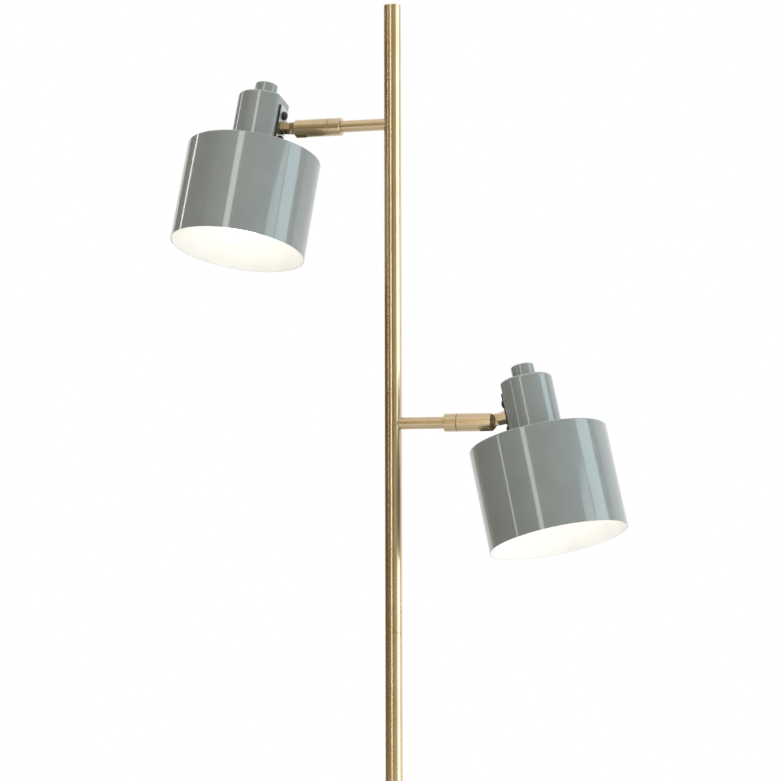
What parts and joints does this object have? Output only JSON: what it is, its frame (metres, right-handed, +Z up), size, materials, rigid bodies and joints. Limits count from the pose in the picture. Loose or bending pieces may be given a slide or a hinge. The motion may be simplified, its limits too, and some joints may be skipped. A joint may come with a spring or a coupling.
{
  "type": "floor lamp",
  "caption": "Floor lamp: a round weighted base and a slim brass pole whose opposite arms carry tilting, swivelling grey drum-shaped reading heads.",
  "frame": {"origin": "centre of the base on the floor, under the pole", "axes": "+Z up along the pole; +X along the lower arm, away from the pole; the upper arm points along -X"},
  "size_m": [0.5075, 0.2414, 1.4],
  "materials": {
    "grey_lacquer": "glossy warm grey lacquer, white enamel inside the drum",
    "satin_brass": "fine brushed satin, clear lacquered",
    "plated_steel": "satin plated",
    "bright_steel": "bright zinc plated",
    "black_steel": "black oxide",
    "cast_weight": "black painted casting",
    "pad_rubber": "matt black",
    "gasket_rubber": "matt black",
    "holder_plastic": "moulded white thermoset",
    "frosted_glass": "frosted, emissive when lit"
  },
  "bodies": {
    "stand": {"base_pad": "pad_rubber", "base_weight": "cast_weight", "base_cover": "satin_brass", "cord_bushing": "pad_rubber", "foot_insert": "bright_steel", "foot_washer": "bright_steel", "foot_nut": "bright_steel", "pole_lower": "satin_brass", "pole_joiner": "bright_steel", "pole_upper": "satin_brass", "pole_top_plug": "satin_brass", "upper_arm_tube": "satin_brass", "upper_arm_collar": "satin_brass", "lower_arm_tube": "satin_brass", "lower_arm_collar": "satin_brass"},
    "upper_fork_head": {"upper_swivel_washer": "bright_steel", "upper_swivel_nut": "bright_steel", "upper_swivel_nipple": "bright_steel", "upper_fork": "satin_brass", "upper_pivot_pin": "satin_brass", "upper_friction_washers": "bright_steel"},
    "upper_shade_head": {"upper_knuckle": "satin_brass", "upper_knuckle_nut": "satin_brass", "upper_bracket_plate": "plated_steel", "upper_bracket_gasket": "gasket_rubber", "upper_bracket_screws": "black_steel", "upper_nut_plate": "bright_steel", "upper_neck": "grey_lacquer", "upper_drum": "grey_lacquer", "upper_lampholder": "holder_plastic", "upper_clamp_rings": "holder_plastic", "upper_bulb_cap": "bright_steel", "upper_bulb_glass": "frosted_glass", "upper_switch_body": "holder_plastic", "upper_switch_nut": "bright_steel"},
    "upper_knob": {"upper_switch_spindle": "bright_steel", "upper_knob": "grey_lacquer"},
    "lower_fork_head": {"lower_swivel_washer": "bright_steel", "lower_swivel_nut": "bright_steel", "lower_swivel_nipple": "bright_steel", "lower_fork": "satin_brass", "lower_pivot_pin": "satin_brass", "lower_friction_washers": "bright_steel"},
    "lower_shade_head": {"lower_knuckle": "satin_brass", "lower_knuckle_nut": "satin_brass", "lower_bracket_plate": "plated_steel", "lower_bracket_gasket": "gasket_rubber", "lower_bracket_screws": "black_steel", "lower_nut_plate": "bright_steel", "lower_neck": "grey_lacquer", "lower_drum": "grey_lacquer", "lower_lampholder": "holder_plastic", "lower_clamp_rings": "holder_plastic", "lower_bulb_cap": "bright_steel", "lower_bulb_glass": "frosted_glass", "lower_switch_body": "holder_plastic", "lower_switch_nut": "bright_steel"},
    "lower_knob": {"lower_switch_spindle": "bright_steel", "lower_knob": "grey_lacquer"}
  },
  "joints": [
    {"name": "upper_swivel", "type": "hinge", "parent": "stand", "child": "upper_fork_head", "pos_m": [-0.0733, 0, 1.2678], "axis": [-1, 0, 0], "range_deg": [-183.67, 156.33]},
    {"name": "upper_tilt", "type": "hinge", "parent": "upper_fork_head", "child": "upper_shade_head", "pos_m": [-0.107, 0, 1.2678], "axis": [0, 0.9717, -0.2363], "range_deg": [-33.24, 84.76]},
    {"name": "upper_knob_turn", "type": "hinge", "parent": "upper_shade_head", "child": "upper_knob", "pos_m": [-0.1533, 0.00931, 1.30608], "axis": [-0.0913, -0.2353, -0.9676], "range_deg": [0, 90]},
    {"name": "lower_swivel", "type": "hinge", "parent": "stand", "child": "lower_fork_head", "pos_m": [0.0733, 0, 0.9377], "axis": [1, 0, 0], "range_deg": [-161.23, 178.77]},
    {"name": "lower_tilt", "type": "hinge", "parent": "lower_fork_head", "child": "lower_shade_head", "pos_m": [0.107, 0, 0.9377], "axis": [0, -0.9883, 0.1525], "range_deg": [-41.88, 76.12]},
    {"name": "lower_knob_turn", "type": "hinge", "parent": "lower_shade_head", "child": "lower_knob", "pos_m": [0.14685, 0.007, 0.98306], "axis": [0.2399, -0.148, -0.9595], "range_deg": [0, 90]}
  ]
}
